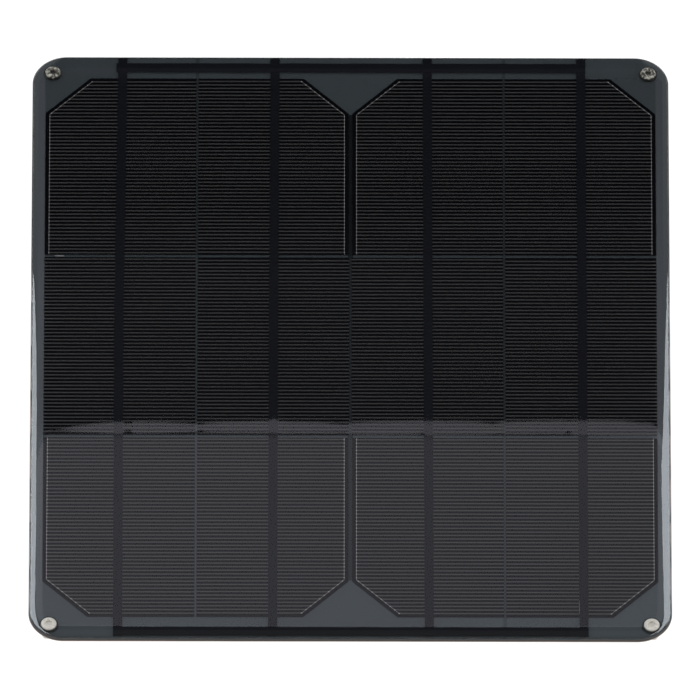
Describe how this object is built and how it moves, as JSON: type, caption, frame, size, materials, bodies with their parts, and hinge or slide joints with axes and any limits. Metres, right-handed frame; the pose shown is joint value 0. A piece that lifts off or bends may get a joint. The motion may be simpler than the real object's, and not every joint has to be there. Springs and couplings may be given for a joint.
{
  "type": "rigid solar panel",
  "caption": "Flat rectangular solar panel with rounded corners, series-linked cut cells under a clear poured coat, corner screws with nuts behind, and a short swinging output lead.",
  "frame": {"origin": "centre of the backing board's rear face, in the plane a mounting surface touches; the parts in front and behind reach almost equally far, so the centre of the bounding box is 0.16 mm from it", "axes": "+X along the panel's width, +Y up its height as seen from the cells, +Z out of the cell side towards the sun"},
  "size_m": [0.22, 0.256, 0.0067],
  "materials": {
    "solder_mask_board": "satin dark slate solder mask, tan glass-epoxy at the cut edge",
    "clear_resin": "gloss clear poured resin",
    "silicon_cell": "satin near-black cell with fine silver fingers",
    "tinned_ribbon": "satin tinned copper",
    "black_mask": "matte black film",
    "stainless_steel": "satin stainless steel",
    "black_cap": "matte fine-textured black plastic",
    "diode_package": "matte moulded epoxy",
    "rubber_boot": "matte black rubber",
    "cable_sheath": "satin black cable sheath",
    "plug_plastic": "satin black plastic",
    "contact_metal": "polished plated brass"
  },
  "bodies": {
    "panel": {"backing_board": "solder_mask_board", "front_coating": "clear_resin", "cell_r1c1": "silicon_cell", "cell_r1c2": "silicon_cell", "cell_r1c3": "silicon_cell", "cell_r1c4": "silicon_cell", "cell_r2c1": "silicon_cell", "cell_r2c2": "silicon_cell", "cell_r2c3": "silicon_cell", "cell_r2c4": "silicon_cell", "cell_r3c1": "silicon_cell", "cell_r3c2": "silicon_cell", "cell_r3c3": "silicon_cell", "cell_r3c4": "silicon_cell", "interconnect_c1_r12": "tinned_ribbon", "interconnect_c1_r23": "tinned_ribbon", "interconnect_c2_r12": "tinned_ribbon", "interconnect_c2_r23": "tinned_ribbon", "interconnect_c3_r12": "tinned_ribbon", "interconnect_c3_r23": "tinned_ribbon", "interconnect_c4_r12": "tinned_ribbon", "interconnect_c4_r23": "tinned_ribbon", "top_tab_c1": "tinned_ribbon", "top_tab_c2": "tinned_ribbon", "top_tab_c3": "tinned_ribbon", "top_tab_c4": "tinned_ribbon", "bottom_tab_c1": "tinned_ribbon", "bottom_tab_c2": "tinned_ribbon", "bottom_tab_c3": "tinned_ribbon", "bottom_tab_c4": "tinned_ribbon", "top_link_c12": "tinned_ribbon", "top_link_c34": "tinned_ribbon", "bottom_link_c23": "tinned_ribbon", "mask_strip_c1": "black_mask", "mask_strip_c2": "black_mask", "mask_strip_c3": "black_mask", "mask_strip_c4": "black_mask", "mask_strip_top": "black_mask", "mask_strip_bottom": "black_mask", "corner_screw_tl": "stainless_steel", "corner_screw_tr": "stainless_steel", "corner_screw_bl": "stainless_steel", "corner_screw_br": "stainless_steel", "junction_box": "black_cap", "blocking_diode": "diode_package", "strain_relief": "rubber_boot", "cable_root": "cable_sheath"},
    "washer_tl": {"washer_tl": "stainless_steel"},
    "nut_tl": {"nut_tl": "stainless_steel"},
    "washer_tr": {"washer_tr": "stainless_steel"},
    "nut_tr": {"nut_tr": "stainless_steel"},
    "washer_bl": {"washer_bl": "stainless_steel"},
    "nut_bl": {"nut_bl": "stainless_steel"},
    "washer_br": {"washer_br": "stainless_steel"},
    "nut_br": {"nut_br": "stainless_steel"},
    "lead": {"cable_lead": "cable_sheath", "plug_housing": "plug_plastic", "plug_contact_positive": "contact_metal", "plug_contact_negative": "contact_metal"}
  },
  "joints": [
    {"name": "nut_tl_travel", "type": "slide", "parent": "panel", "child": "washer_tl", "axis": [0, 0, -1], "range_m": [0, 0.001]},
    {"name": "nut_tl_turn", "type": "hinge", "parent": "washer_tl", "child": "nut_tl", "pos_m": [-0.103, 0.1202, -0.001], "axis": [0, 0, -1], "range_deg": [0, 720]},
    {"name": "nut_tr_travel", "type": "slide", "parent": "panel", "child": "washer_tr", "axis": [0, 0, -1], "range_m": [0, 0.001]},
    {"name": "nut_tr_turn", "type": "hinge", "parent": "washer_tr", "child": "nut_tr", "pos_m": [0.103, 0.1202, -0.001], "axis": [0, 0, -1], "range_deg": [0, 720]},
    {"name": "nut_bl_travel", "type": "slide", "parent": "panel", "child": "washer_bl", "axis": [0, 0, -1], "range_m": [0, 0.001]},
    {"name": "nut_bl_turn", "type": "hinge", "parent": "washer_bl", "child": "nut_bl", "pos_m": [-0.103, -0.1223, -0.001], "axis": [0, 0, -1], "range_deg": [0, 720]},
    {"name": "nut_br_travel", "type": "slide", "parent": "panel", "child": "washer_br", "axis": [0, 0, -1], "range_m": [0, 0.001]},
    {"name": "nut_br_turn", "type": "hinge", "parent": "washer_br", "child": "nut_br", "pos_m": [0.103, -0.1223, -0.001], "axis": [0, 0, -1], "range_deg": [0, 720]},
    {"name": "lead_swing", "type": "hinge", "parent": "panel", "child": "lead", "pos_m": [0, -0.065, -0.00147], "axis": [0, 0, 1], "range_deg": [-90, 90]}
  ],
  "couplings": [
    {"joint": "nut_tl_turn", "follows": "nut_tl_travel", "rad_per_m": 12566},
    {"joint": "nut_tr_turn", "follows": "nut_tr_travel", "rad_per_m": 12566},
    {"joint": "nut_bl_turn", "follows": "nut_bl_travel", "rad_per_m": 12566},
    {"joint": "nut_br_turn", "follows": "nut_br_travel", "rad_per_m": 12566}
  ]
}
